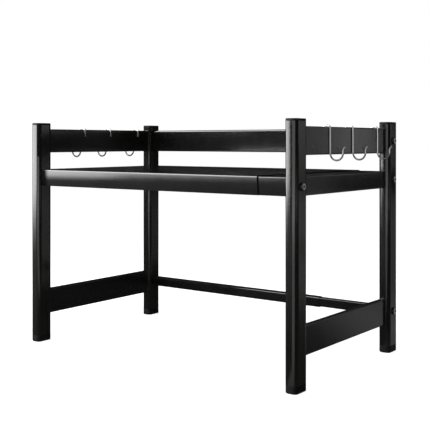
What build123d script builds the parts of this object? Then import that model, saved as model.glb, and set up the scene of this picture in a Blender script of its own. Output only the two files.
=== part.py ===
from build123d import *
from math import asin, cos, degrees, radians
import os

# A telescoping one-tier rack that bridges a countertop oven.
#
# Each end is a welded side frame: two upright posts joined by a guard rail, a shelf rail and a lower rail.
# The shelf is two folded sheet pans, one nested under the other, and behind it run two pairs of nested tubes,
# so the right side frame slides outwards with its pan and tubes. Bolts through the posts hold the pans and
# tubes. Wire hooks hang on the guard rails of the side frames.
#
# Millimetres. X runs along the shelf, Y towards the back, Z up. The origin is on the floor under the middle
# of the rack, at the width that it is drawn at.

# Overall
rack_height = 430.0
rack_width = 612.0
rack_depth = 366.0

# Upright posts: rounded rectangular tube with slightly crowned front and back faces, a cap and a foot plug
post_wide = 23.0
post_deep = 36.0
post_corner = 8.0
post_crown = 70.0
post_wall = 1.2
cap_rim = 4.0
cap_edge = 1.4
cap_plug = 14.0
foot_rim = 13.0
foot_edge = 1.0
foot_plug = 22.0
plug_wall = 1.8
plug_gap = 0.35
plug_rib_wide = 1.2
plug_rib_proud = 0.25
plug_rib_count = 3
plug_rib_pitch = 6.0

# Side frame rails: flat tube, welded between the front and the back post. The guard rail's middle and the
# deck are measured down from the top of the rack, the lower rail's middle up from the floor.
rail_thick = 10.0
rail_wall = 1.0
rail_corner = 2.5
rail_inset = 8.0
guard_tall = 46.5
guard_drop = 35.0
shelf_tall = 32.0
deck_drop = 91.2
lower_tall = 49.0
lower_centre = 76.3

# Shelf pans: folded sheet, the left one over the right one. Their faces are bowed and draw in towards the
# bottom.
sheet = 1.0
fascia_inset = 6.2
fascia_bow = 130.0
fold_radius = 3.0
slide_gap = 0.3
seam_from_end = 76.0
right_pan_length = 383.0
return_lip = 18.0
end_gap = 0.3
tongue_gap = 0.6
tongue_short = 1.0
channel_wide = 44.0
channel_tall = 14.0
channel_flange = 9.0
channel_fold = 2.0
channel_end_gap = 0.5
left_channel_from_end = 95.0
right_channel_from_end = 170.0

# Corner brackets and weld nuts in the ends of the pans
bracket_sheet = 1.2
bracket_reach = 22.0
bracket_deep = 17.0
bracket_fold = 0.9
bracket_gap = 0.1
nut_flats = 10.0
nut_tall = 5.0

# Telescoping tubes at the back
back_tube_thick = 14.0
back_tube_corner = 3.0
back_tube_wall = 1.0
inner_lower_tall = 18.0
outer_tube_length = 433.0
inner_tube_length = 440.0
tube_plug_long = 15.0
tube_plug_gap = 0.15

# Bolts: button head with a hex socket
bolt_size = 6.0
bolt_length = 35.0
bolt_head_wide = 13.0
bolt_head_tall = 4.0
bolt_head_rim = 0.7
bolt_head_flat = 8.0
bolt_head_round = 2.9
bolt_socket = 4.0
bolt_socket_deep = 2.2
bolt_hole = 6.6
thread_gap = 0.1

# Wire hooks over the guard rails. The front and the middle one are placed from the front of the rack, the
# back one from its back.
wire = 3.0
hook_gap = 0.3
hook_bend = 4.0
hook_lip = 16.5
hook_throat = 11.9
hook_drop = 44.5
hook_rise = 3.5
flare_radius = 8.0
flare_turn = 65.0
wire_end = 0.6
right_hooks = {"front": 118.5, "middle": 199.0, "back": 72.0}
left_hooks = {"front": 130.0, "middle": 206.0, "back": 72.0}

# Worked out from the sizes above
half_width = rack_width / 2
half_depth = rack_depth / 2
post_x = half_width - post_wide / 2
post_y = half_depth - post_deep / 2
post_inner = half_width - post_wide
post_gap = rack_depth - 2 * post_deep
corner_x = post_wide / 2 - post_corner
crown_y = post_deep / 2 - post_crown
crown_turn = degrees(asin(corner_x / (post_crown - post_corner)))
corner_y = crown_y + (post_crown - post_corner) * cos(radians(crown_turn))
rail_x = half_width - rail_inset - rail_thick / 2
rail_inner = half_width - rail_inset - rail_thick
guard_centre = rack_height - guard_drop
guard_top = guard_centre + guard_tall / 2
shelf_top = rack_height - deck_drop
shelf_centre = shelf_top - shelf_tall / 2
shelf_bottom = shelf_top - shelf_tall
fascia_y = half_depth - fascia_inset
nest = sheet + slide_gap
outer_lower_tall = inner_lower_tall + 2 * nest

os.makedirs("parts", exist_ok=True)

sides = {"left": -1, "right": 1}
rows = {"front": -1, "back": 1}
rail_sizes = {
    "guard": (guard_centre, guard_tall),
    "shelf": (shelf_centre, shelf_tall),
    "lower": (lower_centre, lower_tall),
}
bolt_heights = {"front": [shelf_centre], "back": [shelf_centre, guard_centre, lower_centre]}
back_tubes = {"back_guard": (guard_centre, guard_tall), "rear_lower": (lower_centre, outer_lower_tall)}


def sideways(side, x, y, z):
    """A place whose own Z points out of the rack, away from its middle."""
    return Location((side * x, y, z), (0, side * 90, 0))


def post_section(inset=0.0):
    """The section of a post about its middle, drawn in all round by an inset."""
    flat_x = post_wide / 2 - inset
    corner = post_corner - inset
    with BuildSketch() as section:
        with BuildLine():
            Line((flat_x, 0), (flat_x, corner_y))
            CenterArc((corner_x, corner_y), corner, 0, 90 - crown_turn)
            CenterArc((0, crown_y), post_crown - inset, 90 - crown_turn, 2 * crown_turn)
            CenterArc((-corner_x, corner_y), corner, 90 + crown_turn, 90 - crown_turn)
            Line((-flat_x, corner_y), (-flat_x, 0))
            mirror(about=Plane.XZ)
        make_face()
    return section.sketch


def make_plug(x, y, root, direction, length):
    """The hollow plug of a cap or a foot, with upright crush ribs that grip the inside of the post."""
    inset = post_wall + plug_gap
    with BuildPart() as plug:
        with BuildSketch(Plane(origin=(x, y, root))):
            add(post_section(inset))
            with GridLocations(post_wide - 2 * inset, plug_rib_pitch, 2, plug_rib_count):
                Rectangle(2 * plug_rib_proud, plug_rib_wide)
            add(post_section(inset + plug_wall), mode=Mode.SUBTRACT)
        extrude(amount=direction * length)
    return plug.part


# Posts, caps and foot plugs
for hand, side in sides.items():
    for row, end in rows.items():
        x = side * post_x
        y = end * post_y

        with BuildPart() as post:
            with BuildSketch(Plane(origin=(x, y, foot_rim))):
                add(post_section())
                add(post_section(post_wall), mode=Mode.SUBTRACT)
            extrude(amount=rack_height - foot_rim - cap_rim)
            with Locations(*[sideways(side, half_width, y, z) for z in bolt_heights[row]]):
                Hole(radius=bolt_hole / 2, depth=post_wide)
        post.part.label = f"{row}_{hand}_post"
        export_step(post.part, f"parts/{post.part.label}.step")

        cap_root = rack_height - cap_rim
        cap_grip = make_plug(x, y, cap_root, -1, cap_plug)
        with BuildPart() as cap:
            with BuildSketch(Plane(origin=(x, y, cap_root))):
                add(post_section())
            extrude(amount=cap_rim)
            fillet(cap.faces().sort_by(Axis.Z)[-1].edges(), radius=cap_edge)
            add(cap_grip)
        cap.part.label = f"{row}_{hand}_cap"
        export_step(cap.part, f"parts/{cap.part.label}.step")

        foot_grip = make_plug(x, y, foot_rim, 1, foot_plug)
        with BuildPart() as foot:
            with BuildSketch(Plane(origin=(x, y, 0))):
                add(post_section())
            extrude(amount=foot_rim)
            chamfer(foot.faces().sort_by(Axis.Z)[0].edges(), length=foot_edge)
            add(foot_grip)
        foot.part.label = f"{row}_{hand}_foot"
        export_step(foot.part, f"parts/{foot.part.label}.step")


# Side frame rails, coped to the posts
for hand, side in sides.items():
    for name, (centre, tall) in rail_sizes.items():
        with BuildPart() as rail:
            with BuildSketch(Plane.XZ):
                with Locations((side * rail_x, centre)):
                    RectangleRounded(rail_thick, tall, rail_corner)
                    RectangleRounded(
                        rail_thick - 2 * rail_wall,
                        tall - 2 * rail_wall,
                        rail_corner - rail_wall,
                        mode=Mode.SUBTRACT,
                    )
            extrude(amount=post_gap / 2 + post_corner, both=True)
            with BuildSketch(Plane.XY.offset(centre - tall / 2)):
                with Locations((side * post_x, -post_y), (side * post_x, post_y)):
                    add(post_section())
            extrude(amount=tall, mode=Mode.SUBTRACT)
        rail.part.label = f"{hand}_{name}_rail"
        export_step(rail.part, f"parts/{rail.part.label}.step")


# Shelf pans. Each is folded from one sheet: a deck, a fascia at the front and at the back, and at its end a
# tongue that reaches between the posts and turns down beside the shelf rail.
for hand, side in sides.items():
    nested = 0 if hand == "left" else nest
    deck = shelf_top - nested - sheet / 2
    face = fascia_y - nested - sheet / 2
    bend = fold_radius - nested - sheet / 2
    bow = fascia_bow - nested - sheet / 2
    lip = shelf_bottom + sheet / 2
    if hand == "left":
        fascia_turn = degrees(asin((deck - bend - shelf_bottom) / bow))
    else:
        fascia_turn = degrees(asin((deck - bend - lip - bend) / (bow - bend)))
    drawn_in = bow * (1 - cos(radians(fascia_turn)))
    length = rack_width - post_wide - seam_from_end if hand == "left" else right_pan_length
    turned_down = rail_inner - end_gap - sheet / 2

    with BuildPart() as pan:
        with BuildSketch(Plane.YZ.offset(side * post_inner)):
            for end in rows.values():
                with BuildLine():
                    half_deck = Line((0, deck), (end * (face - bend), deck))
                    fold = JernArc(half_deck @ 1, half_deck % 1, bend, -90 * end)
                    fascia = JernArc(fold @ 1, fold % 1, bow, -fascia_turn * end)
                    if hand == "right":
                        hem = JernArc(fascia @ 1, fascia % 1, bend, (fascia_turn - 90) * end)
                        Line(hem @ 1, (end * (face - return_lip), lip))
                trace(line_width=sheet)
        extrude(amount=-side * length)
        with BuildSketch(Plane.XZ):
            with BuildLine():
                FilletPolyline(
                    (side * (post_inner - return_lip), deck),
                    (side * turned_down, deck),
                    (side * turned_down, shelf_bottom + tongue_short),
                    radius=fold_radius - sheet / 2,
                )
            trace(line_width=sheet)
        extrude(amount=post_gap / 2 - tongue_gap, both=True)
    pan.part.label = f"{hand}_shelf_pan"
    export_step(pan.part, f"parts/{pan.part.label}.step")

    from_end = left_channel_from_end if hand == "left" else right_channel_from_end
    channel_x = side * (post_inner - from_end)
    channel_top = deck - sheet
    with BuildPart() as channel:
        with BuildSketch(Plane.XZ):
            with BuildLine():
                FilletPolyline(
                    (channel_x - channel_wide / 2 - channel_flange, channel_top),
                    (channel_x - channel_wide / 2, channel_top),
                    (channel_x - channel_wide / 2, channel_top - channel_tall),
                    (channel_x + channel_wide / 2, channel_top - channel_tall),
                    (channel_x + channel_wide / 2, channel_top),
                    (channel_x + channel_wide / 2 + channel_flange, channel_top),
                    radius=channel_fold,
                )
            trace(line_width=sheet)
        extrude(amount=face - bend - channel_end_gap, both=True)
    channel.part.label = f"{hand}_pan_channel"
    export_step(channel.part, f"parts/{channel.part.label}.step")

    # Corner brackets: three walls folded round the bolt, clear of the folds of the pan, the middle one at the
    # post
    bracket_root = lip + bend
    bracket_top = deck - bend
    wall_front = face - drawn_in - sheet / 2 - bracket_gap - bracket_sheet / 2
    wall_back = wall_front - bracket_deep + bracket_sheet
    wall_end = post_inner - bracket_sheet / 2
    with BuildPart() as brackets:
        for end in rows.values():
            with BuildSketch(Plane.XY.offset(bracket_root)):
                with BuildLine():
                    FilletPolyline(
                        (side * (post_inner - bracket_reach), end * wall_front),
                        (side * wall_end, end * wall_front),
                        (side * wall_end, end * wall_back),
                        (side * (post_inner - bracket_reach), end * wall_back),
                        radius=bracket_fold,
                    )
                trace(line_width=bracket_sheet)
            extrude(amount=bracket_top - bracket_root)
        with Locations(*[sideways(side, post_inner, end * post_y, shelf_centre) for end in rows.values()]):
            Hole(radius=bolt_hole / 2, depth=bracket_sheet)
    brackets.part.label = f"{hand}_pan_brackets"
    export_step(brackets.part, f"parts/{brackets.part.label}.step")

    with BuildPart() as nuts:
        for end in rows.values():
            with BuildSketch(Plane(sideways(side, post_inner - bracket_sheet, end * post_y, shelf_centre))):
                RegularPolygon(radius=nut_flats / 2, side_count=6, major_radius=False)
                Circle(radius=(bolt_size + thread_gap) / 2, mode=Mode.SUBTRACT)
            extrude(amount=-nut_tall)
    nuts.part.label = f"{hand}_weld_nuts"
    export_step(nuts.part, f"parts/{nuts.part.label}.step")


# Telescoping tubes behind the shelf: the left half carries the outer ones, the right half the inner ones
for hand, side in sides.items():
    nested = 0 if hand == "left" else nest
    length = outer_tube_length if hand == "left" else inner_tube_length
    thick = back_tube_thick - 2 * nested
    corner = back_tube_corner - nested
    inside_corner = corner - back_tube_wall

    for name, (centre, outer_tall) in back_tubes.items():
        tall = outer_tall - 2 * nested
        with BuildPart() as tube:
            with BuildSketch(Plane.YZ.offset(side * post_inner)):
                with Locations((post_y, centre)):
                    RectangleRounded(thick, tall, corner)
                    RectangleRounded(
                        thick - 2 * back_tube_wall,
                        tall - 2 * back_tube_wall,
                        inside_corner,
                        mode=Mode.SUBTRACT,
                    )
            extrude(amount=-side * length)
        tube.part.label = f"{hand}_{name}_tube"
        export_step(tube.part, f"parts/{tube.part.label}.step")

    with BuildPart() as tube_plugs:
        for centre, outer_tall in back_tubes.values():
            inside = 2 * (nested + back_tube_wall + tube_plug_gap)
            with BuildSketch(Plane.YZ.offset(side * post_inner)):
                with Locations((post_y, centre)):
                    RectangleRounded(back_tube_thick - inside, outer_tall - inside, inside_corner)
                    Circle(radius=(bolt_size + thread_gap) / 2, mode=Mode.SUBTRACT)
            extrude(amount=-side * tube_plug_long)
    tube_plugs.part.label = f"{hand}_tube_plugs"
    export_step(tube_plugs.part, f"parts/{tube_plugs.part.label}.step")


# Bolts, all four of a side as one group
for hand, side in sides.items():
    with BuildPart() as bolts:
        for row, end in rows.items():
            for height in bolt_heights[row]:
                seat = Plane(sideways(side, half_width, end * post_y, height))
                with BuildSketch(seat):
                    Circle(radius=bolt_size / 2)
                extrude(amount=-bolt_length)
                with BuildSketch(Plane(origin=seat.origin, x_dir=seat.x_dir, z_dir=seat.y_dir)):
                    with BuildLine():
                        rim = Line((0, 0), (bolt_head_wide / 2, 0))
                        edge = Line(rim @ 1, (bolt_head_wide / 2, -bolt_head_rim))
                        flat = Line((0, -bolt_head_tall), (bolt_head_flat / 2, -bolt_head_tall))
                        RadiusArc(edge @ 1, flat @ 1, radius=bolt_head_round)
                        Line(flat @ 0, rim @ 0)
                    make_face()
                revolve(axis=Axis(seat.origin, seat.z_dir))
                with BuildSketch(seat.offset(bolt_head_tall)):
                    RegularPolygon(radius=bolt_socket / 2, side_count=6, major_radius=False)
                extrude(amount=-bolt_socket_deep, mode=Mode.SUBTRACT)
    bolts.part.label = f"{hand}_bolts"
    export_step(bolts.part, f"parts/{bolts.part.label}.step")


# Wire hooks: over the guard rail, down its outer face and up again in an open throat
lip_x = rail_inner - hook_gap - wire / 2
shank_x = half_width - rail_inset + hook_gap + wire / 2
crown_z = guard_top + hook_gap + wire / 2
throat_z = crown_z - wire / 2 - hook_drop

for hand, hooks in {"left": left_hooks, "right": right_hooks}.items():
    side = sides[hand]
    for place, from_edge in hooks.items():
        y = half_depth - from_edge if place == "back" else from_edge - half_depth
        with BuildPart() as hook:
            with BuildLine(Plane.XZ.offset(-y)) as path:
                lip_line = Line((side * lip_x, crown_z - hook_lip), (side * lip_x, crown_z - hook_bend))
                lip_bend = JernArc(lip_line @ 1, lip_line % 1, hook_bend, -90 * side)
                crown = Line(lip_bend @ 1, (side * (shank_x - hook_bend), crown_z))
                shank_bend = JernArc(crown @ 1, crown % 1, hook_bend, -90 * side)
                shank = Line(shank_bend @ 1, (side * shank_x, throat_z))
                throat = JernArc(shank @ 1, shank % 1, hook_throat, 180 * side)
                arm = Line(throat @ 1, (side * (shank_x + 2 * hook_throat), throat_z + hook_rise))
                JernArc(arm @ 1, arm % 1, flare_radius, -flare_turn * side)
            with BuildSketch(Plane(origin=path.wire() @ 0, z_dir=path.wire() % 0)):
                Circle(radius=wire / 2)
            sweep(path=path.wire())
            chamfer(hook.faces().filter_by(GeomType.PLANE).edges(), length=wire_end)
        hook.part.label = f"{hand}_{place}_hook"
        export_step(hook.part, f"parts/{hook.part.label}.step")
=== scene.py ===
import math
import random

import bmesh
import bpy
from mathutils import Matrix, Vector


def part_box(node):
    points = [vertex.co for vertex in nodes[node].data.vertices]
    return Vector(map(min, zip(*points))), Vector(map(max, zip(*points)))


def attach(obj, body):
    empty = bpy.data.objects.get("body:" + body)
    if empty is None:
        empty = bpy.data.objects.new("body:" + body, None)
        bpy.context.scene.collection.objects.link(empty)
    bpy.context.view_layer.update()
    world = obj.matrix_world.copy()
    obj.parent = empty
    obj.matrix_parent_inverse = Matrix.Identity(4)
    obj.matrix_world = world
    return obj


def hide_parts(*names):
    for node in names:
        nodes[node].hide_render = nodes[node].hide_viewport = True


# The looks of a telescoping one-tier rack in black powder coat, on a plain white studio floor.
# Metres. X runs along the shelf, Y towards the back, Z up.

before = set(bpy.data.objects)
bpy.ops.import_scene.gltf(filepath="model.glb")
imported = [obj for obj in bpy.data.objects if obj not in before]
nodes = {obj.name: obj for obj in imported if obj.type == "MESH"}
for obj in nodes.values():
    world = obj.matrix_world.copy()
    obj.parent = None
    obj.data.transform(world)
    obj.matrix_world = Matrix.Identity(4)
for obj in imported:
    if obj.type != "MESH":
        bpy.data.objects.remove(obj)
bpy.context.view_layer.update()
scene = bpy.context.scene
scene.view_settings.view_transform = "Standard"

HANDS = {"left": -1, "right": 1}
ROWS = {"front": -1, "back": 1}
HOOK_PLACES = ("front", "middle", "back")

full_turn = 2 * math.pi
half_turn = math.pi
quarter_turn = math.pi / 2


def limits(node, axis):
    """A CAD node's lower and upper limit along X, Y or Z (0, 1 or 2), to a hundredth of a millimetre."""
    low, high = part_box(node)
    return round(low[axis], 5), round(high[axis], 5)


# Sizes that the frame gives. The left side mirrors the right one
post_inner_x, post_outer_x = limits("front_right_post", 0)
rail_inner, rail_outer = limits("right_guard_rail", 0)
rail_heights = {rail: limits(f"right_{rail}_rail", 2) for rail in ("guard", "shelf", "lower")}
guard_bottom, guard_top = rail_heights["guard"]

# Sizes as the construction has them
post_x = (post_inner_x + post_outer_x) / 2
post_y = 0.165
post_inner_y = 0.147
post_corner = 0.008
post_crown = 0.070
rail_corner = 0.0025
wire = 0.003
hook_gap = 0.0003
hook_bend = 0.004
hook_lip = 0.0165
hook_throat = 0.0119
hook_drop = 0.0445
hook_rise = 0.0035
flare_radius = 0.008
flare_turn = math.radians(65)
bolt_size = 0.006
bolt_length = 0.035
bolt_head_wide = 0.013
bolt_head_tall = 0.004
bolt_socket = 0.004
bolt_socket_deep = 0.0022
bolt_heights = {"front": [0.3228], "back": [0.3228, 0.395, 0.0763]}

# Fine shapes that the scene adds, and how finely round things are cut
wire_end_round = 0.0009
wire_end_steps = 5
wire_sides = 24
hook_step = 0.004
bend_steps = 10
throat_steps = 28
head_rim_round = 0.0002
head_rim_tall = 0.0007
head_dome_radius = 0.0029
head_dome_steps = 12
head_flat_radius = 0.004
socket_mouth_radius = 0.002538
socket_chamfer_deep = 0.00035
drill_radius = 0.0008
drill_deep = 0.00025
thread_pitch = 0.001
thread_deep = 0.0005
thread_from = 0.0225
thread_runout = 0.0006
thread_tip_long = 0.0008
thread_tip_drop = 0.0006
thread_steps = 8
bolt_sides = 48
rail_corner_steps = 6
weld_bead = 0.00078
weld_sides = 10
weld_step = 0.0004

# Painted shade on the left pan: the strip along its free edge at the seam, and how far the shade in its
# corner reaches from the post
seam_shade_strip = 0.0022
seam_shade_blend = 0.00066
corner_shade_full = 0.010
corner_shade_reach = 0.024

# How far below the top of a bolt's head its painted highlight begins, and where it is full
highlight_none = 0.0009
highlight_full = 0.0001

# How far below the guard rail's lower edge a hook's wire is fully darkened by painted shade, and how far
# above it fully bright
wire_shade_full_below = 0.002
wire_bright_above = 0.004


# Materials

# The sockets of a colour mix node, whose names repeat for other kinds of value
MIX_SHARE = 0
MIX_FIRST = 6
MIX_SECOND = 7
MIX_RESULT = 2


def add_node(material, kind, inputs=None, **settings):
    """A shader node with its settings and the values of its own sockets."""
    node = material.node_tree.nodes.new(kind)
    for key, value in settings.items():
        setattr(node, key, value)
    for key, value in (inputs or {}).items():
        node.inputs[key].default_value = value
    return node


def join(material, source, output, target, socket):
    material.node_tree.links.new(source.outputs[output], target.inputs[socket])


def new_material(name, **inputs):
    """A material with its shader's constant values set on the shader itself."""
    material = bpy.data.materials.new(name)
    material.use_nodes = True
    shader = material.node_tree.nodes["Principled BSDF"]
    for key, value in inputs.items():
        shader.inputs[key.replace("_", " ")].default_value = value
    return material, shader


def bare_material(name, kind, inputs=None):
    """A material with nothing but one shader of that kind and the output."""
    material = bpy.data.materials.new(name)
    material.use_nodes = True
    material.node_tree.nodes.clear()
    shader = add_node(material, kind, inputs)
    output = add_node(material, "ShaderNodeOutputMaterial")
    join(material, shader, 0, output, "Surface")
    return material, shader, output


def noise(material, place, scale, detail=2.0, roughness=0.5):
    settings = {"Scale": scale, "Detail": detail, "Roughness": roughness}
    node = add_node(material, "ShaderNodeTexNoise", settings)
    join(material, place, 0, node, "Vector")
    return node


def ramp(material, source, stops, output="Fac"):
    """A colour ramp. Each stop is a position and a colour."""
    node = add_node(material, "ShaderNodeValToRGB")
    elements = node.color_ramp.elements
    while len(elements) < len(stops):
        elements.new(0.5)
    for element, (position, color) in zip(elements, stops):
        element.position = position
        element.color = (*color, 1.0)
    join(material, source, output, node, "Fac")
    return node


def grey_ramp(material, source, stops, output):
    """A ramp of greys. Each stop is a position and a level."""
    return ramp(material, source, [(place, (level, level, level)) for place, level in stops], output)


def spread(material, source, low, high, output="Fac", source_low=0.3, source_high=0.7):
    """Maps a source's range to low and high. The range of a noise is about 0.3 to 0.7."""
    node = add_node(
        material,
        "ShaderNodeMapRange",
        {"From Min": source_low, "From Max": source_high, "To Min": low, "To Max": high},
    )
    join(material, source, output, node, "Value")
    return node


def ease(material, source, output, start, end, low=0.0, high=1.0):
    """A smooth change from low to high while the source goes from start to end."""
    node = spread(material, source, low, high, output, start, end)
    node.interpolation_type = "SMOOTHSTEP"
    return node


def combine(material, operation, first, second):
    """A math node on the first outputs of two nodes."""
    node = add_node(material, "ShaderNodeMath", operation=operation)
    join(material, first, 0, node, 0)
    join(material, second, 0, node, 1)
    return node


def absolute(material, source, output):
    node = add_node(material, "ShaderNodeMath", operation="ABSOLUTE")
    join(material, source, output, node, 0)
    return node


def split_axes(material, source, output):
    """The X, Y and Z of a node's vector."""
    node = add_node(material, "ShaderNodeSeparateXYZ")
    join(material, source, output, node, 0)
    return node


def mix_colors(material, share, first, second):
    """A mix of a ramp's colour with a second one, from another ramp or fixed, by a share from 0 to 1."""
    node = add_node(material, "ShaderNodeMix", data_type="RGBA")
    join(material, share, 0, node, MIX_SHARE)
    join(material, first, "Color", node, MIX_FIRST)
    if isinstance(second, tuple):
        node.inputs[MIX_SECOND].default_value = (*second, 1.0)
    else:
        join(material, second, "Color", node, MIX_SECOND)
    return node


def bump(material, source, distance, strength, before=None, output="Fac"):
    """A bump from a source's value, on top of the bump before it."""
    node = add_node(material, "ShaderNodeBump", {"Strength": strength, "Distance": distance})
    join(material, source, output, node, "Height")
    if before is not None:
        join(material, before, "Normal", node, "Normal")
    return node


def object_place(material, stretch=(1.0, 1.0, 1.0)):
    coordinates = add_node(material, "ShaderNodeTexCoord")
    mapping = add_node(material, "ShaderNodeMapping", {"Scale": stretch})
    join(material, coordinates, "Object", mapping, "Vector")
    return mapping


def powder_coat(name="black_powder_coat"):
    """Semi-gloss black powder coat: orange peel, a fine grain under it, and faint dust on what faces up."""
    material, shader = new_material(name, IOR=1.65)
    place = object_place(material)
    cloud = noise(material, place, scale=11.0, detail=4.0, roughness=0.6)
    paint = ramp(material, cloud, [(0.3, (0.0060, 0.0056, 0.0052)), (0.7, (0.0082, 0.0077, 0.0071))])

    geometry = add_node(material, "ShaderNodeNewGeometry")
    axes = split_axes(material, geometry, "Normal")
    facing_up = spread(material, axes, low=0.0, high=1.0, output="Z", source_low=0.75, source_high=0.98)
    specks = noise(material, place, scale=750.0, detail=3.0, roughness=0.7)
    patches = noise(material, place, scale=26.0, detail=3.0, roughness=0.6)
    speck_share = spread(material, specks, low=0.0, high=0.32, source_low=0.56, source_high=0.74)
    patch_share = spread(material, patches, low=0.15, high=1.0)
    dust_here = combine(material, "MULTIPLY", speck_share, patch_share)
    dust = combine(material, "MULTIPLY", dust_here, facing_up)
    dust_color = (0.045, 0.043, 0.041)
    color = mix_colors(material, dust, paint, dust_color)
    join(material, color, MIX_RESULT, shader, "Base Color")

    uneven = noise(material, place, scale=48.0, detail=3.0, roughness=0.55)
    gloss = spread(material, uneven, low=0.11, high=0.15)
    dust_roughness = 0.5
    rough = add_node(material, "ShaderNodeMath", {1: dust_roughness}, operation="MULTIPLY_ADD")
    join(material, dust, 0, rough, 0)
    join(material, gloss, 0, rough, 2)
    join(material, rough, 0, shader, "Roughness")

    peel = noise(material, place, scale=390.0, detail=1.5, roughness=0.45)
    grain = noise(material, place, scale=1700.0, detail=2.0, roughness=0.6)
    wide_peel = bump(material, peel, distance=0.00005, strength=0.8)
    fine_grain = bump(material, grain, distance=0.000012, strength=0.8, before=wide_peel)
    join(material, fine_grain, "Normal", shader, "Normal")
    return material


def left_pan_coat_painted_shade():
    """The left pan's coat, with painted shade: its reflection fades to none in the corner beside the post,
    and along the free edge at the seam.
    """
    material = powder_coat("black_powder_coat_left_pan_painted_shade")
    shader = material.node_tree.nodes["Principled BSDF"]
    coordinates = add_node(material, "ShaderNodeTexCoord")
    axes = split_axes(material, coordinates, "Object")
    shade_full_to = corner_shade_full - post_inner_x
    unshaded_from = corner_shade_reach - post_inner_x
    at_post = ease(material, axes, "X", start=shade_full_to, end=unshaded_from, low=1.0, high=0.0)

    facing = split_axes(material, coordinates, "Normal")
    sideways = absolute(material, facing, "Y")
    on_fascia = ease(material, sideways, "Value", start=0.6, end=0.95)
    shade_in_corner = combine(material, "MULTIPLY", at_post, on_fascia)

    seam_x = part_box("left_shelf_pan")[1].x
    strip_from = seam_x - seam_shade_strip
    shade_at_seam = ease(material, axes, "X", start=strip_from, end=strip_from + seam_shade_blend)
    # Painted shade in the corner beside the post and along the seam: the specular level falls from 0.5 to
    # none there
    shade_share = combine(material, "MAXIMUM", shade_in_corner, shade_at_seam)
    shine = add_node(material, "ShaderNodeMapRange", {"To Min": 0.5, "To Max": 0.0})
    join(material, shade_share, 0, shine, "Value")
    join(material, shine, 0, shader, "Specular IOR Level")
    return material


def moulded_plastic():
    """Black moulded plastic with a fine spark-eroded grain."""
    material, shader = new_material("black_moulded_plastic", IOR=1.48, Specular_IOR_Level=0.18)
    place = object_place(material)
    cloud = noise(material, place, scale=60.0, detail=3.0)
    color = ramp(material, cloud, [(0.3, (0.0070, 0.0068, 0.0070)), (0.7, (0.0100, 0.0096, 0.0100))])
    join(material, color, "Color", shader, "Base Color")
    gloss = spread(material, cloud, low=0.55, high=0.65)
    join(material, gloss, 0, shader, "Roughness")

    cells = add_node(material, "ShaderNodeTexVoronoi", {"Scale": 2300.0, "Randomness": 1.0})
    join(material, place, 0, cells, "Vector")
    pits = bump(material, cells, distance=0.00003, strength=0.7, output="Distance")
    flow = noise(material, place, scale=180.0, detail=2.0)
    soft = bump(material, flow, distance=0.00004, strength=0.5, before=pits)
    join(material, soft, "Normal", shader, "Normal")
    return material


def black_oxide():
    """Blackened steel of the bolts, with a painted highlight: the flat tops of the heads get a bright metal
    colour.
    """
    material, shader = new_material("black_oxide_steel", Metallic=1.0)
    place = object_place(material)
    cloud = noise(material, place, scale=420.0, detail=4.0, roughness=0.65)
    blackened = ramp(
        material,
        cloud,
        [(0.25, (0.045, 0.044, 0.042)), (0.6, (0.07, 0.068, 0.066)), (0.85, (0.11, 0.107, 0.105))],
    )
    # Painted highlight: a bright metal colour on the flat top of each head
    highlight_color = ramp(material, cloud, [(0.3, (0.78, 0.77, 0.76)), (0.7, (0.94, 0.93, 0.92))])
    axes = split_axes(material, place, 0)
    from_middle = absolute(material, axes, "X")
    top = post_outer_x + bolt_head_tall
    highlight_share = ease(material, from_middle, "Value", start=top - highlight_none, end=top - highlight_full)
    color = mix_colors(material, highlight_share, blackened, highlight_color)
    join(material, color, MIX_RESULT, shader, "Base Color")
    gloss = spread(material, cloud, low=0.30, high=0.42)
    join(material, gloss, 0, shader, "Roughness")

    grain = noise(material, place, scale=5200.0, detail=2.0)
    pits = bump(material, grain, distance=0.000008, strength=0.8)
    join(material, pits, "Normal", shader, "Normal")
    return material


def bright_wire():
    """Drawn steel wire with fine scratches along it. Its colour is painted darker, as shade, on the loops
    below the rail.
    """
    material, shader = new_material("bright_drawn_wire", Metallic=1.0)
    coordinates = add_node(material, "ShaderNodeTexCoord")
    along = add_node(material, "ShaderNodeMapping", {"Scale": (26.0, 0.012, 1.0)})
    join(material, coordinates, "UV", along, "Vector")
    scratches = noise(material, along, scale=5.0, detail=4.0, roughness=0.65)
    place = object_place(material)
    cloud = noise(material, place, scale=160.0, detail=3.0)
    bright = ramp(material, cloud, [(0.3, (0.90, 0.89, 0.88)), (0.7, (0.97, 0.965, 0.96))])
    # Painted shade: a dark grey copy of the wire's colour for the loops below the rail
    shaded_wire_color = ramp(material, cloud, [(0.3, (0.24, 0.237, 0.233)), (0.7, (0.31, 0.307, 0.303))])
    axes = split_axes(material, place, 0)
    shade_full_to = guard_bottom - wire_shade_full_below
    bright_from = guard_bottom + wire_bright_above
    on_shank = ease(material, axes, "Z", start=shade_full_to, end=bright_from)
    color = mix_colors(material, on_shank, shaded_wire_color, bright)
    join(material, color, MIX_RESULT, shader, "Base Color")
    gloss = spread(material, scratches, low=0.24, high=0.38)
    join(material, gloss, 0, shader, "Roughness")
    lines = bump(material, scratches, distance=0.00001, strength=0.6)
    join(material, lines, "Normal", shader, "Normal")
    return material


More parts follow.
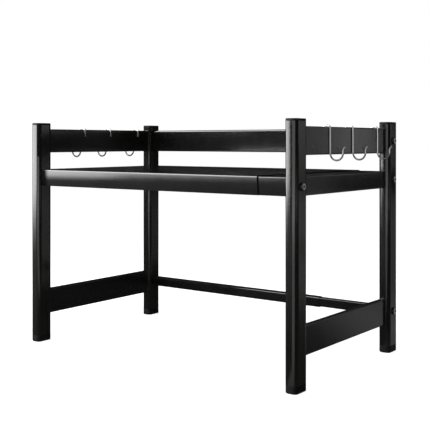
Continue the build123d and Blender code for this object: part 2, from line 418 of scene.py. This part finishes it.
def zinc_plate():
    """Zinc-plated steel of the nuts and the tubes' end plugs, with faint blue and yellow passivation."""
    material, shader = new_material("zinc_plated_steel", Metallic=1.0)
    place = object_place(material)
    cloud = noise(material, place, scale=130.0, detail=3.0, roughness=0.6)
    color = ramp(
        material,
        cloud,
        [(0.3, (0.50, 0.51, 0.53)), (0.5, (0.58, 0.57, 0.55)), (0.75, (0.62, 0.59, 0.50))],
    )
    join(material, color, "Color", shader, "Base Color")
    gloss = spread(material, cloud, low=0.30, high=0.46)
    join(material, gloss, 0, shader, "Roughness")
    turned = object_place(material, stretch=(9000.0, 40.0, 40.0))
    rings = noise(material, turned, scale=1.0, detail=2.0)
    lines = bump(material, rings, distance=0.000006, strength=0.6)
    join(material, lines, "Normal", shader, "Normal")
    return material


finishes = {
    "powder_coat": powder_coat(),
    "black_plastic": moulded_plastic(),
    "black_bolt": black_oxide(),
    "hook_wire": bright_wire(),
    "zinc_steel": zinc_plate(),
}

for node in nodes.values():
    for index, material in enumerate(node.data.materials):
        node.data.materials[index] = finishes[material.name.split(".")[0]]
nodes["left_shelf_pan"].data.materials[0] = left_pan_coat_painted_shade()


# Pieces

def new_object(name, mesh_data, material):
    """An object of the built mesh in one material."""
    mesh = bpy.data.meshes.new(name)
    mesh_data.to_mesh(mesh)
    mesh_data.free()
    mesh.materials.append(material)
    item = bpy.data.objects.new(name, mesh)
    scene.collection.objects.link(item)
    return item


def finish_piece(name, mesh_data, body, slot, smooth_angle=35):
    """Turns the built mesh into a piece that rides on its body."""
    bmesh.ops.recalc_face_normals(mesh_data, faces=mesh_data.faces)
    piece = new_object(name, mesh_data, finishes[slot])
    piece.data.set_sharp_from_angle(angle=math.radians(smooth_angle))
    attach(piece, body)
    return piece


def bridge(mesh_data, first, second):
    """Quads between two closed rings of points."""
    count = len(first)
    faces = []
    for i in range(count):
        j = (i + 1) % count
        faces.append(mesh_data.faces.new((first[i], first[j], second[j], second[i])))
    return faces


def bridge_all(mesh_data, rings):
    """Quads from each ring of points to the next."""
    for first, second in zip(rings, rings[1:]):
        bridge(mesh_data, first, second)


def arc_points(centre, radius, start, turn, count):
    """Points on an arc in the XZ plane, angles in radians from +X towards +Z, without the first one."""
    points = []
    for i in range(1, count + 1):
        angle = start + turn * i / count
        points.append((centre[0] + radius * math.cos(angle), centre[1] + radius * math.sin(angle)))
    return points


def even_steps(points, step):
    """The same line with points no further apart than step."""
    out = [points[0]]
    for (x0, z0), (x1, z1) in zip(points, points[1:]):
        count = max(1, math.ceil(math.hypot(x1 - x0, z1 - z0) / step))
        for i in range(1, count + 1):
            out.append((x0 + (x1 - x0) * i / count, z0 + (z1 - z0) * i / count))
    return out


def distance_between(first, second):
    return math.hypot(second[0] - first[0], second[1] - first[1])


def direction(first, second):
    """The unit direction from one (x, z) point to another."""
    size = distance_between(first, second)
    return (second[0] - first[0]) / size, (second[1] - first[1]) / size


def distances_along(line):
    """How far along a line each of its points lies."""
    distances = [0.0]
    for first, second in zip(line, line[1:]):
        distances.append(distances[-1] + distance_between(first, second))
    return distances


def hook_line():
    """The centre line of a right-hand hook as (x, z) points, from the end of its lip to its flared tip."""
    lip_x = rail_inner - hook_gap - wire / 2
    shank_x = rail_outer + hook_gap + wire / 2
    crown_z = guard_top + hook_gap + wire / 2
    bend_z = crown_z - hook_bend
    throat_z = crown_z - wire / 2 - hook_drop
    arm_x = shank_x + 2 * hook_throat
    arm_z = throat_z + hook_rise
    points = [(lip_x, crown_z - hook_lip), (lip_x, bend_z)]
    points += arc_points((lip_x + hook_bend, bend_z), hook_bend, half_turn, -quarter_turn, bend_steps)
    points += [(shank_x - hook_bend, crown_z)]
    points += arc_points((shank_x - hook_bend, bend_z), hook_bend, quarter_turn, -quarter_turn, bend_steps)
    points += [(shank_x, throat_z)]
    points += arc_points((shank_x + hook_throat, throat_z), hook_throat, half_turn, half_turn, throat_steps)
    points += [(arm_x, arm_z)]
    points += arc_points((arm_x + flare_radius, arm_z), flare_radius, half_turn, -flare_turn, bend_steps)
    return points


def hook_stations(line):
    """Places along the wire as (x, z, direction, radius, distance along), with the two ends rounded off."""
    distances = distances_along(line)
    last = len(line) - 1
    stations = []
    for i, (x, z) in enumerate(line):
        along = direction(line[max(i - 1, 0)], line[min(i + 1, last)])
        if 0 < i < last:
            stations.append((x, z, along, wire / 2, distances[i]))
            continue
        outward = -1 if i == 0 else 1
        angles = [quarter_turn * k / wire_end_steps for k in range(wire_end_steps + 1)]
        if i == 0:
            angles.reverse()
        for angle in angles:
            inset = wire_end_round * (1 - math.sin(angle))
            radius = wire / 2 - wire_end_round * (1 - math.cos(angle))
            shift = -outward * inset
            stations.append((x + along[0] * shift, z + along[1] * shift, along, radius, distances[i]))
    return stations


def hook_ring(mesh_data, side, middle_y, station):
    """A ring of points round the wire at one of its stations."""
    x, z, along, radius, _ = station
    ring = []
    for k in range(wire_sides):
        angle = full_turn * k / wire_sides
        across = radius * math.cos(angle)
        out = radius * math.sin(angle)
        place = (side * (x - along[1] * out), middle_y + across, z + along[0] * out)
        ring.append(mesh_data.verts.new(place))
    return ring


def build_hook(hand, place):
    """One hook as fine wire with rounded ends, and a UV map round the wire and along it."""
    node_name = f"{hand}_{place}_hook"
    low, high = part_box(node_name)
    middle_y = (low.y + high.y) / 2
    uv_per_metre = 100
    data = bmesh.new()
    layer = data.loops.layers.uv.new("UVMap")
    stations = hook_stations(even_steps(hook_line(), hook_step))
    rings = [hook_ring(data, HANDS[hand], middle_y, station) for station in stations]
    for first, second, start, end in zip(rings, rings[1:], stations, stations[1:]):
        distances = (start[-1], start[-1], end[-1], end[-1])
        for k, face in enumerate(bridge(data, first, second)):
            turns = (k / wire_sides, (k + 1) / wire_sides, (k + 1) / wire_sides, k / wire_sides)
            for loop, turn, distance in zip(face.loops, turns, distances):
                loop[layer].uv = (turn, distance * uv_per_metre)
    data.faces.new(rings[0])
    data.faces.new(rings[-1][::-1])
    piece = finish_piece(f"{node_name}_wire", data, node_name, "hook_wire")
    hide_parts(node_name)


for hand in HANDS:
    for place in HOOK_PLACES:
        build_hook(hand, place)


def head_profile():
    """A bolt head's outline as (out from the post, radius) points, from the shank to the flat on top."""
    half = bolt_head_wide / 2
    chord = Vector((head_flat_radius - half, bolt_head_tall - head_rim_tall))
    to_centre = math.sqrt(head_dome_radius ** 2 - (chord.length / 2) ** 2)
    sideways = Vector((-chord.y, chord.x)).normalized()
    centre = Vector((half, head_rim_tall)) + chord / 2 + sideways * to_centre
    first = math.atan2(head_rim_tall - centre.y, half - centre.x)
    last = math.atan2(bolt_head_tall - centre.y, head_flat_radius - centre.x)
    points = [(0.0, bolt_size / 2), (0.0, half - head_rim_round), (head_rim_round, half)]
    points.append((head_rim_tall - head_rim_round / 2, half))
    for i in range(head_dome_steps + 1):
        angle = first + (last - first) * i / head_dome_steps
        out = centre.y + head_dome_radius * math.sin(angle)
        points.append((out, centre.x + head_dome_radius * math.cos(angle)))
    return points


def bolt_ring(mesh_data, bolt, out, radius_at):
    """A ring of points round a bolt's axis, at a distance out from the post. radius_at takes the angle."""
    side, bolt_y, bolt_z = bolt
    ring = []
    for k in range(bolt_sides):
        angle = full_turn * k / bolt_sides
        radius = radius_at(angle)
        y = bolt_y + radius * math.cos(angle)
        z = bolt_z + radius * math.sin(angle)
        ring.append(mesh_data.verts.new((side * (post_outer_x + out), y, z)))
    return ring


def round_ring(mesh_data, bolt, out, radius):
    return bolt_ring(mesh_data, bolt, out, lambda angle: radius)


def hexagon_radius(angle):
    """How far the outline of the hex socket is from its middle at an angle."""
    return bolt_socket / 2 / math.cos((angle + math.pi / 6) % (math.pi / 3) - math.pi / 6)


def thread_radius(angle, depth, side):
    """The radius of the cut thread at an angle and a depth: a groove that winds round, and a tapered tip."""
    taper = min(1.0, (bolt_length - depth) / thread_tip_long)
    phase = (depth / thread_pitch - side * angle / full_turn) % 1.0
    groove = 1 - abs(2 * phase - 1)
    return (bolt_size / 2 - thread_deep * groove) - thread_tip_drop * (1 - taper)


def build_bolt(mesh_data, bolt):
    """A bolt at (side, y, z): domed head, chamfered hex socket with a drilled bottom, shank and thread."""
    side = bolt[0]
    socket_out = bolt_head_tall - bolt_socket_deep
    head = [round_ring(mesh_data, bolt, out, radius) for out, radius in head_profile()]
    head.append(round_ring(mesh_data, bolt, bolt_head_tall, socket_mouth_radius))
    head.append(bolt_ring(mesh_data, bolt, bolt_head_tall - socket_chamfer_deep, hexagon_radius))
    head.append(bolt_ring(mesh_data, bolt, socket_out, hexagon_radius))
    head.append(round_ring(mesh_data, bolt, socket_out - drill_deep, drill_radius))
    bridge_all(mesh_data, head)
    mesh_data.faces.new(head[-1])

    shank = [head[0], round_ring(mesh_data, bolt, thread_runout - thread_from, bolt_size / 2)]
    steps = int((bolt_length - thread_from) / thread_pitch * thread_steps)
    for i in range(steps + 1):
        depth = thread_from + (bolt_length - thread_from) * i / steps
        shank.append(bolt_ring(mesh_data, bolt, -depth, lambda angle: thread_radius(angle, depth, side)))
    bridge_all(mesh_data, shank)
    mesh_data.faces.new(shank[-1])


def build_bolts(hand):
    """All bolts of one side, as one piece like the CAD node that it replaces."""
    data = bmesh.new()
    for row, end in ROWS.items():
        for height in bolt_heights[row]:
            build_bolt(data, (HANDS[hand], end * post_y, height))
    piece = finish_piece(f"{hand}_button_head_bolts", data, f"{hand}_half", "black_bolt", smooth_angle=40)
    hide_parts(f"{hand}_bolts")


for hand in HANDS:
    build_bolts(hand)


def rail_corner_arc(x, z, start):
    return arc_points((x, z), rail_corner, start, quarter_turn, rail_corner_steps)


def rail_outline(low, high, open_inside):
    """Points round a side rail as (x, z) on the right-hand side. Inside it can stay open, for the shelf."""
    left = rail_inner + rail_corner
    right = rail_outer - rail_corner
    bottom = low + rail_corner
    top = high - rail_corner
    points = [(left, low), (right, low)]
    points += rail_corner_arc(right, bottom, -quarter_turn)
    points += [(rail_outer, top)]
    points += rail_corner_arc(right, top, 0.0)
    points += [(left, high)]
    if not open_inside:
        points += rail_corner_arc(left, top, quarter_turn)
        points += [(rail_inner, bottom)]
        points += rail_corner_arc(left, bottom, half_turn)
    return points


def post_recess(x):
    """How far the crowned face of a post falls back from its highest line, at a place along X."""
    across = abs(x - post_x)
    corner_x = (post_outer_x - post_inner_x) / 2 - post_corner
    reach = post_crown - post_corner
    if across < corner_x * post_crown / reach:
        return post_crown - math.sqrt(post_crown ** 2 - across ** 2)
    corner_back = post_crown - math.sqrt(reach ** 2 - corner_x ** 2)
    return corner_back - math.sqrt(post_corner ** 2 - (across - corner_x) ** 2)


def weld_thickness(distances, name):
    """How thick a weld bead is along its line: fine even ripples, and a slow random swell."""
    swell_count = 64
    swell_long = 0.006
    swell_share = 0.08
    ripple_share = 0.09
    ripple_shortest = 0.0017
    ripple_longest = 0.0021
    shuffle = random.Random(name)
    swell = [shuffle.uniform(-1, 1) for _ in range(swell_count)]
    ripple_long = shuffle.uniform(ripple_shortest, ripple_longest)
    radii = []
    for distance in distances:
        turn = full_turn * distance / ripple_long
        place = distance / swell_long
        before = swell[int(place) % swell_count]
        after = swell[(int(place) + 1) % swell_count]
        slow = before + (after - before) * (place % 1)
        radii.append(weld_bead * (1 + ripple_share * math.sin(turn) + swell_share * slow))
    return radii


def thin_ends(radii):
    """The same thicknesses, falling off towards both ends of an open bead."""
    end_share = 0.25
    share_per_step = 0.2
    last = len(radii) - 1
    shares = [min(1.0, end_share + share_per_step * min(i, last - i)) for i in range(len(radii))]
    return [radius * share for radius, share in zip(radii, shares)]


def weld_ring(mesh_data, hand, row, point, along, radius):
    """A ring of points round a weld bead, on the face of the post."""
    x, z = point
    face_y = post_inner_y + post_recess(x)
    ring = []
    for k in range(weld_sides):
        angle = full_turn * k / weld_sides
        out = radius * math.cos(angle)
        y = ROWS[row] * (face_y - radius * math.sin(angle))
        ring.append(mesh_data.verts.new((HANDS[hand] * (x + along[1] * out), y, z - along[0] * out)))
    return ring


def build_weld(hand, row, rail):
    """The painted weld bead where a side rail meets a post. It follows the post's crown and round corner."""
    low, high = rail_heights[rail]
    closed = rail != "shelf"
    points = even_steps(rail_outline(low, high, open_inside=not closed), weld_step)
    if closed:
        points = points[:-1]
    last = len(points) - 1
    radii = weld_thickness(distances_along(points), f"{hand}{row}{rail}")
    if not closed:
        radii = thin_ends(radii)
    data = bmesh.new()
    rings = []
    for i, point in enumerate(points):
        before = points[i - 1] if closed or i > 0 else point
        after = points[(i + 1) % len(points)] if closed or i < last else point
        rings.append(weld_ring(data, hand, row, point, direction(before, after), radii[i]))
    bridge_all(data, rings)
    if closed:
        bridge(data, rings[-1], rings[0])
    else:
        data.faces.new(rings[0])
        data.faces.new(rings[-1])
    finish_piece(f"{row}_{hand}_{rail}_weld", data, f"{hand}_half", "powder_coat", smooth_angle=60)


for hand in HANDS:
    for row in ROWS:
        for rail in rail_heights:
            build_weld(hand, row, rail)


# Studio: a white floor and world, and walls, floor sheets of painted light and shade, and screens that only
# show in reflections

UPWARDS = (0.0, 0.0, 1.0)


def shows_to_eye(material):
    """1 where a camera, glossy or transmission ray arrives, so that reflections show the background too."""
    path = add_node(material, "ShaderNodeLightPath")
    either = add_node(material, "ShaderNodeMath", operation="MAXIMUM")
    join(material, path, "Is Camera Ray", either, 0)
    join(material, path, "Is Glossy Ray", either, 1)
    any_of = add_node(material, "ShaderNodeMath", operation="MAXIMUM")
    join(material, either, 0, any_of, 0)
    join(material, path, "Is Transmission Ray", any_of, 1)
    return any_of


def floor_material():
    """A white floor that keeps shadows, with a glow that only the eye and reflections see."""
    floor_white = (0.82, 0.82, 0.82, 1.0)
    floor_glow = 0.84
    material, lit, output = bare_material("white_floor", "ShaderNodeBsdfDiffuse", {"Color": floor_white})
    glow = add_node(material, "ShaderNodeEmission", {"Color": (1.0, 1.0, 1.0, 1.0)})
    strength = add_node(material, "ShaderNodeMath", {1: floor_glow}, operation="MULTIPLY")
    join(material, shows_to_eye(material), 0, strength, 0)
    join(material, strength, 0, glow, "Strength")
    both = add_node(material, "ShaderNodeAddShader")
    join(material, lit, 0, both, 0)
    join(material, glow, 0, both, 1)
    join(material, both, 0, output, "Surface")
    return material


def white_floor():
    """The studio's floor, a little below the feet."""
    reach = 14.0
    floor_z = -0.0002
    corners = [(-reach, -reach), (reach, -reach), (reach, reach), (-reach, reach)]
    data = bmesh.new()
    data.faces.new([data.verts.new((x, y, floor_z)) for x, y in corners])
    sheet = new_object("studio_floor", data, floor_material())


def reflected_sheet(name, mesh_data, stops, gradient, low, high):
    """A sheet graded in brightness along a direction. Only reflections show it. It casts no shadow."""
    material, glow, _ = bare_material(name, "ShaderNodeEmission", {"Strength": 1.0})
    coordinates = add_node(material, "ShaderNodeTexCoord")
    along = add_node(material, "ShaderNodeVectorMath", {1: gradient}, operation="DOT_PRODUCT")
    join(material, coordinates, "Object", along, 0)
    share = spread(material, along, low=0.0, high=1.0, output="Value", source_low=low, source_high=high)
    brightness = grey_ramp(material, share, stops, "Result")
    join(material, brightness, "Color", glow, "Color")
    flag = new_object(name, mesh_data, material)
    flag.visible_camera = False
    flag.visible_diffuse = False
    flag.visible_transmission = False
    flag.visible_shadow = False


def dark_walls():
    """Dark walls and a dark ceiling round the set."""
    wall_radius = 5.0
    wall_top = 4.0
    wall_sides = 48
    wall_levels = [(0.0, 0.012), (0.15, 0.015), (0.3, 0.04), (1.0, 0.04)]
    angles = [full_turn * k / wall_sides for k in range(wall_sides)]
    outline = [(wall_radius * math.cos(angle), wall_radius * math.sin(angle)) for angle in angles]
    data = bmesh.new()
    lower, upper = [[data.verts.new((x, y, z)) for x, y in outline] for z in (0.0, wall_top)]
    bridge(data, lower, upper)
    data.faces.new(upper)
    reflected_sheet("studio_walls", data, wall_levels, UPWARDS, 0.0, wall_top)


def floor_shade_sheet(name, outline, stops, gradient, low, high):
    """A glowing sheet flat on the floor, seen only in reflections, that paints the floor's light and shade
    there.
    """
    data = bmesh.new()
    data.faces.new([data.verts.new((x, y, 0.0)) for x, y in outline])
    reflected_sheet(name, data, stops, gradient, low, high)


def reflected_floor_shades():
    """Glowing sheets that paint the floor's light and shade into reflections: dark ones under and round the
    rack, the left one lighter towards the key lamp, and a grey one in a wedge in front of the right-hand
    posts, darker near the rack.

    The wedge's outer part is left open to the white floor.
    """
    far = 5.0
    near = 2.40
    apex = (0.27, -0.15)
    turns = [math.radians(-14), math.radians(36)]
    wedge = [(apex[0] + far * math.sin(turn), apex[1] - far * math.cos(turn)) for turn in turns]
    mouth = [(apex[0] + near * math.sin(turn), apex[1] - near * math.cos(turn)) for turn in turns]
    floor_shade_sheet(
        "floor_shade_front",
        [apex, *mouth],
        stops=[(0.0, 0.30), (0.1, 0.55), (0.25, 0.72), (1.0, 0.78)],
        gradient=(0.0, -1.0, 0.0),
        low=0.2,
        high=2.5,
    )
    floor_shade_sheet(
        "floor_shade_left",
        [(apex[0], far), (-far, far), (-far, -far), wedge[0], apex],
        stops=[(0.0, 0.03), (0.4, 0.05), (0.75, 0.15), (1.0, 0.20)],
        gradient=(-0.79, -0.61, 0.0),
        low=-0.3,
        high=1.0,
    )
    floor_shade_sheet(
        "floor_shade_right",
        [apex, wedge[1], (far, far), (apex[0], far)],
        stops=[(0.0, 0.03), (0.2, 0.04), (0.4, 0.07), (0.5, 0.16), (0.6, 0.25), (0.7, 0.28), (1.0, 0.16)],
        gradient=(-1.0, 1.0, 0.0),
        low=-0.6,
        high=0.2,
    )


def dark_screen(name, path, low, high):
    """A dark upright screen along a path on the floor, seen only in reflections."""
    data = bmesh.new()
    lower, upper = [[data.verts.new((x, y, z)) for x, y in path] for z in (low, high)]
    for i in range(len(path) - 1):
        data.faces.new((lower[i], lower[i + 1], upper[i + 1], upper[i]))
    levels = [(0.0, 0.02), (1.0, 0.03)]
    reflected_sheet(name, data, levels, UPWARDS, low, high)


def dark_screens():
    """Screens that keep the key lamp out of the back posts' and the back guard rail's reflections."""
    left_path = [(-0.308, -0.16), (-0.36, -0.175), (-0.36, 0.22)]
    front_path = [(-0.288, -0.1845), (0.16, -0.1845)]
    top = 0.45
    dark_screen("screen_left", left_path, low=0.0, high=top)
    dark_screen("screen_front", front_path, low=0.364, high=top)


def white_world():
    """A world that looks white and lights the object at a low, even level."""
    fill_level = 0.22
    world = bpy.data.worlds.new("white_studio")
    scene.world = world
    world.use_nodes = True
    world_light = world.node_tree.nodes["Background"]
    world_light.inputs["Color"].default_value = (1.0, 1.0, 1.0, 1.0)
    level = add_node(world, "ShaderNodeMapRange", {"To Min": fill_level, "To Max": 1.0})
    join(world, shows_to_eye(world), 0, level, "Value")
    join(world, level, 0, world_light, "Strength")


white_floor()
dark_walls()
reflected_floor_shades()
dark_screens()
white_world()


# Lamps

def softbox(name, place, target, wide, tall, radiance):
    """An area lamp of a given brightness per area, turned to face a target."""
    lamp = bpy.data.lights.new(name, "AREA")
    lamp.shape = "RECTANGLE"
    lamp.size = wide
    lamp.size_y = tall
    lamp.energy = radiance * math.pi * wide * tall
    holder = bpy.data.objects.new(name, lamp)
    scene.collection.objects.link(holder)
    holder.location = place
    holder.rotation_euler = (Vector(target) - Vector(place)).to_track_quat("-Z", "Y").to_euler()
    holder.visible_camera = False
    return holder


# The upright plane of the key lamp: a place on it, the direction along it to the right, and its facing
key_place = Vector((-1.31, -0.918, 0.0))
key_along = Vector((0.574, -0.819, 0.0))
key_facing = Vector((0.819, 0.574, 0.0))


def key_panel(name, left, right, low, high, radiance):
    """A lamp on the key's plane, between two places along it and two heights."""
    middle = key_place + key_along * (left + right) / 2
    middle.z = (low + high) / 2
    return softbox(name, middle, middle + key_facing, right - left, high - low, radiance)


def grade_upwards(holder, stops):
    """Lets a lamp's brightness change from its lower edge to its upper one."""
    lamp = holder.data
    lamp.use_nodes = True
    place = add_node(lamp, "ShaderNodeNewGeometry")
    axes = split_axes(lamp, place, "Parametric")
    brightness = grey_ramp(lamp, axes, stops, "Y")
    join(lamp, brightness, "Color", lamp.node_tree.nodes["Emission"], "Color")


def rear_panel(name, x, z, wide, tall, radiance):
    """A lamp behind the rack that faces straight forward."""
    rear_y = 1.3
    softbox(f"rear_panel_{name}", (x, rear_y, z), (x, 0.0, z), wide, tall, radiance)


key_left = key_panel("key_left", left=-0.62, right=0.38, low=0.05, high=0.85, radiance=7.2)
grade_upwards(key_left, [(0.0, 0.05), (0.05, 0.16), (0.11, 0.38), (0.17, 0.72), (0.23, 0.94), (0.4, 1.0)])
key_right = key_panel("key_right", left=0.38, right=1.04, low=0.05, high=0.85, radiance=6.0)
grade_upwards(key_right, [(0.0, 0.02), (0.10, 0.03), (0.13, 0.09), (0.17, 0.34), (0.21, 0.72), (0.27, 1.0)])
key_card = key_panel("key_card", left=-0.80, right=1.05, low=0.85, high=2.05, radiance=10.5)
key_card.visible_diffuse = False
softbox("front_panel", (1.08, -2.62, 0.75), (0.72, -0.165, 0.75), wide=3.1, tall=1.5, radiance=1.08)
rear_panel("near", x=0.96, z=0.65, wide=0.18, tall=0.70, radiance=0.56)
rear_panel("low", x=1.33, z=0.17, wide=0.55, tall=0.24, radiance=0.14)
rear_panel("middle", x=1.16, z=0.70, wide=0.21, tall=0.82, radiance=0.26)
rear_panel("far", x=1.53, z=0.74, wide=0.52, tall=0.72, radiance=0.65)
softbox("overhead", (0.0, -0.25, 2.0), (0.0, -0.1, 0.0), wide=1.2, tall=0.6, radiance=3.0)


# Camera, fitted to the corners of the posts in the photograph
camera_data = bpy.data.cameras.new("camera")
camera_data.lens = 71.76
camera_data.sensor_width = 36.0
camera_data.shift_y = -0.1703
camera = bpy.data.objects.new("camera", camera_data)
scene.collection.objects.link(camera)
camera.location = (1.0008, -1.3203, 0.3931)
camera.rotation_euler = (math.radians(90), 0.0, math.radians(36.827))
scene.camera = camera
